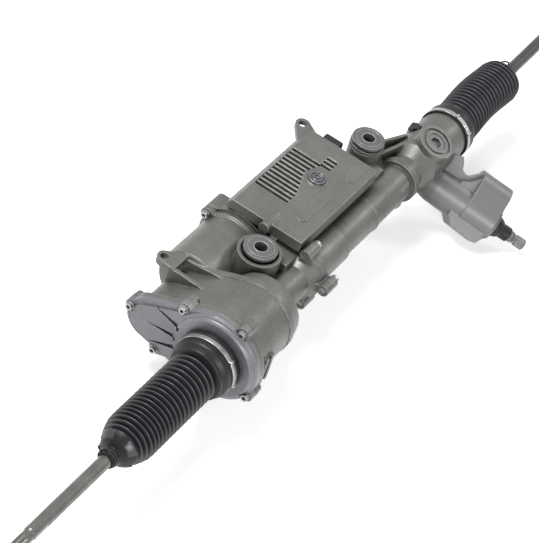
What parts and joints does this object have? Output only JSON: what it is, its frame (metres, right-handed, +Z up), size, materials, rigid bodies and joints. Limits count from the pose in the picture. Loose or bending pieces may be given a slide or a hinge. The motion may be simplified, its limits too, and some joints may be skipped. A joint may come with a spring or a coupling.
{
  "type": "steering rack",
  "caption": "Electric power steering rack: belt-driven ball nut with parallel motor, grooved control unit, skewed pinion with torque sensor tower, bellows and tie rods.",
  "frame": {"origin": "the middle of the main mounting bush's bore", "axes": "+Z runs up that bore, +X runs along the rack from the belt drive to the pinion head, +Y points to the motor side"},
  "size_m": [1.318, 0.2802, 0.1472],
  "materials": {
    "cast_aluminium": "satin cast",
    "cover_aluminium": "satin cast, lightly machined",
    "bright_steel": "bright",
    "bush_steel": "dull plated",
    "machined_steel": "ground",
    "rod_steel": "drawn, satin",
    "dark_steel": "dark phosphated",
    "core_steel": "laminated core",
    "rubber": "matte",
    "black_plastic": "matte",
    "bearing_plastic": "natural",
    "board": "coated"
  },
  "bodies": {
    "housing": {"rack_housing": "cast_aluminium", "gear_case": "cast_aluminium", "control_case": "cast_aluminium", "control_cover": "cast_aluminium", "front_cover": "cover_aluminium", "motor_rear_plate": "cover_aluminium", "tower_cap": "cover_aluminium", "motor_can": "cover_aluminium", "vent_cap": "cover_aluminium", "cover_screws": "bright_steel", "joint_screws": "bright_steel", "control_screws": "bright_steel", "big_clamp_near": "bright_steel", "big_clamp_far": "bright_steel", "bush_sleeve_main": "bush_steel", "bush_sleeve_second": "bush_steel", "yoke_plug": "bush_steel", "nut_bearing": "machined_steel", "motor_bearing_front": "machined_steel", "motor_bearing_rear": "machined_steel", "pinion_bearing": "machined_steel", "needle_bearing": "machined_steel", "yoke_spring": "machined_steel", "hex_plug": "dark_steel", "motor_stator": "core_steel", "boot_near": "rubber", "boot_far": "rubber", "bush_rubbers": "rubber", "bump_stops": "rubber", "input_seal": "rubber", "dust_boot": "rubber", "belt": "rubber", "power_connector": "black_plastic", "signal_connector": "black_plastic", "torque_sensor": "black_plastic", "control_parts": "black_plastic", "rack_bush": "bearing_plastic", "yoke": "bearing_plastic", "control_board": "board"},
    "rack": {"rack_bar": "machined_steel", "joint_housing_near": "machined_steel", "joint_housing_far": "machined_steel"},
    "seat_near": {"ball_seat_near": "bearing_plastic"},
    "seat_far": {"ball_seat_far": "bearing_plastic"},
    "rod_near": {"tie_rod_near": "rod_steel", "small_clamp_near": "dark_steel"},
    "rod_far": {"tie_rod_far": "dark_steel", "small_clamp_far": "dark_steel"},
    "nut": {"ball_nut": "machined_steel", "nut_balls": "machined_steel", "nut_pulley": "machined_steel"},
    "rotor": {"motor_shaft": "machined_steel", "motor_rotor": "core_steel", "motor_pulley": "machined_steel"},
    "pinion": {"pinion_shaft": "machined_steel", "flux_ring": "machined_steel"},
    "column": {"input_shaft": "machined_steel", "torsion_bar": "machined_steel", "magnet_ring": "core_steel"}
  },
  "joints": [
    {"name": "motor_turn", "type": "hinge", "parent": "housing", "child": "rotor", "pos_m": [0, 0.0464, -0.034], "axis": [1, 0, 0], "range_deg": [-11250, 11250]},
    {"name": "nut_turn", "type": "hinge", "parent": "housing", "child": "nut", "pos_m": [0, -0.0376, -0.023], "axis": [1, 0, 0], "range_deg": [-3858, 3858]},
    {"name": "rack_slide", "type": "slide", "parent": "housing", "child": "rack", "axis": [1, 0, 0], "range_m": [-0.075, 0.075], "deforming": ["boot_near", "boot_far"]},
    {"name": "pinion_turn", "type": "hinge", "parent": "housing", "child": "pinion", "pos_m": [0.3095, -0.03179, -0.03897], "axis": [0.3107, -0.8932, -0.3251], "range_deg": [-511, 511]},
    {"name": "column_twist", "type": "hinge", "parent": "pinion", "child": "column", "pos_m": [0.3095, -0.03179, -0.03897], "axis": [0.3107, -0.8932, -0.3251], "range_deg": [-4, 4], "stiffness_Nm_per_rad": 143},
    {"name": "ball_near_swing", "type": "hinge", "parent": "rack", "child": "seat_near", "pos_m": [-0.246, -0.0376, -0.023], "axis": [0, 0, 1], "range_deg": [-20, 20]},
    {"name": "ball_near_lift", "type": "hinge", "parent": "seat_near", "child": "rod_near", "pos_m": [-0.246, -0.0376, -0.023], "axis": [0, 1, 0], "range_deg": [-20, 20]},
    {"name": "ball_far_swing", "type": "hinge", "parent": "rack", "child": "seat_far", "pos_m": [0.496, -0.0376, -0.023], "axis": [0, 0, 1], "range_deg": [-20, 20]},
    {"name": "ball_far_lift", "type": "hinge", "parent": "seat_far", "child": "rod_far", "pos_m": [0.496, -0.0376, -0.023], "axis": [0, 1, 0], "range_deg": [-20, 20]}
  ],
  "couplings": [
    {"joint": "nut_turn", "follows": "rack_slide", "rad_per_m": -897.6},
    {"joint": "motor_turn", "follows": "rack_slide", "rad_per_m": -2618},
    {"joint": "pinion_turn", "follows": "rack_slide", "rad_per_m": -118.81}
  ]
}
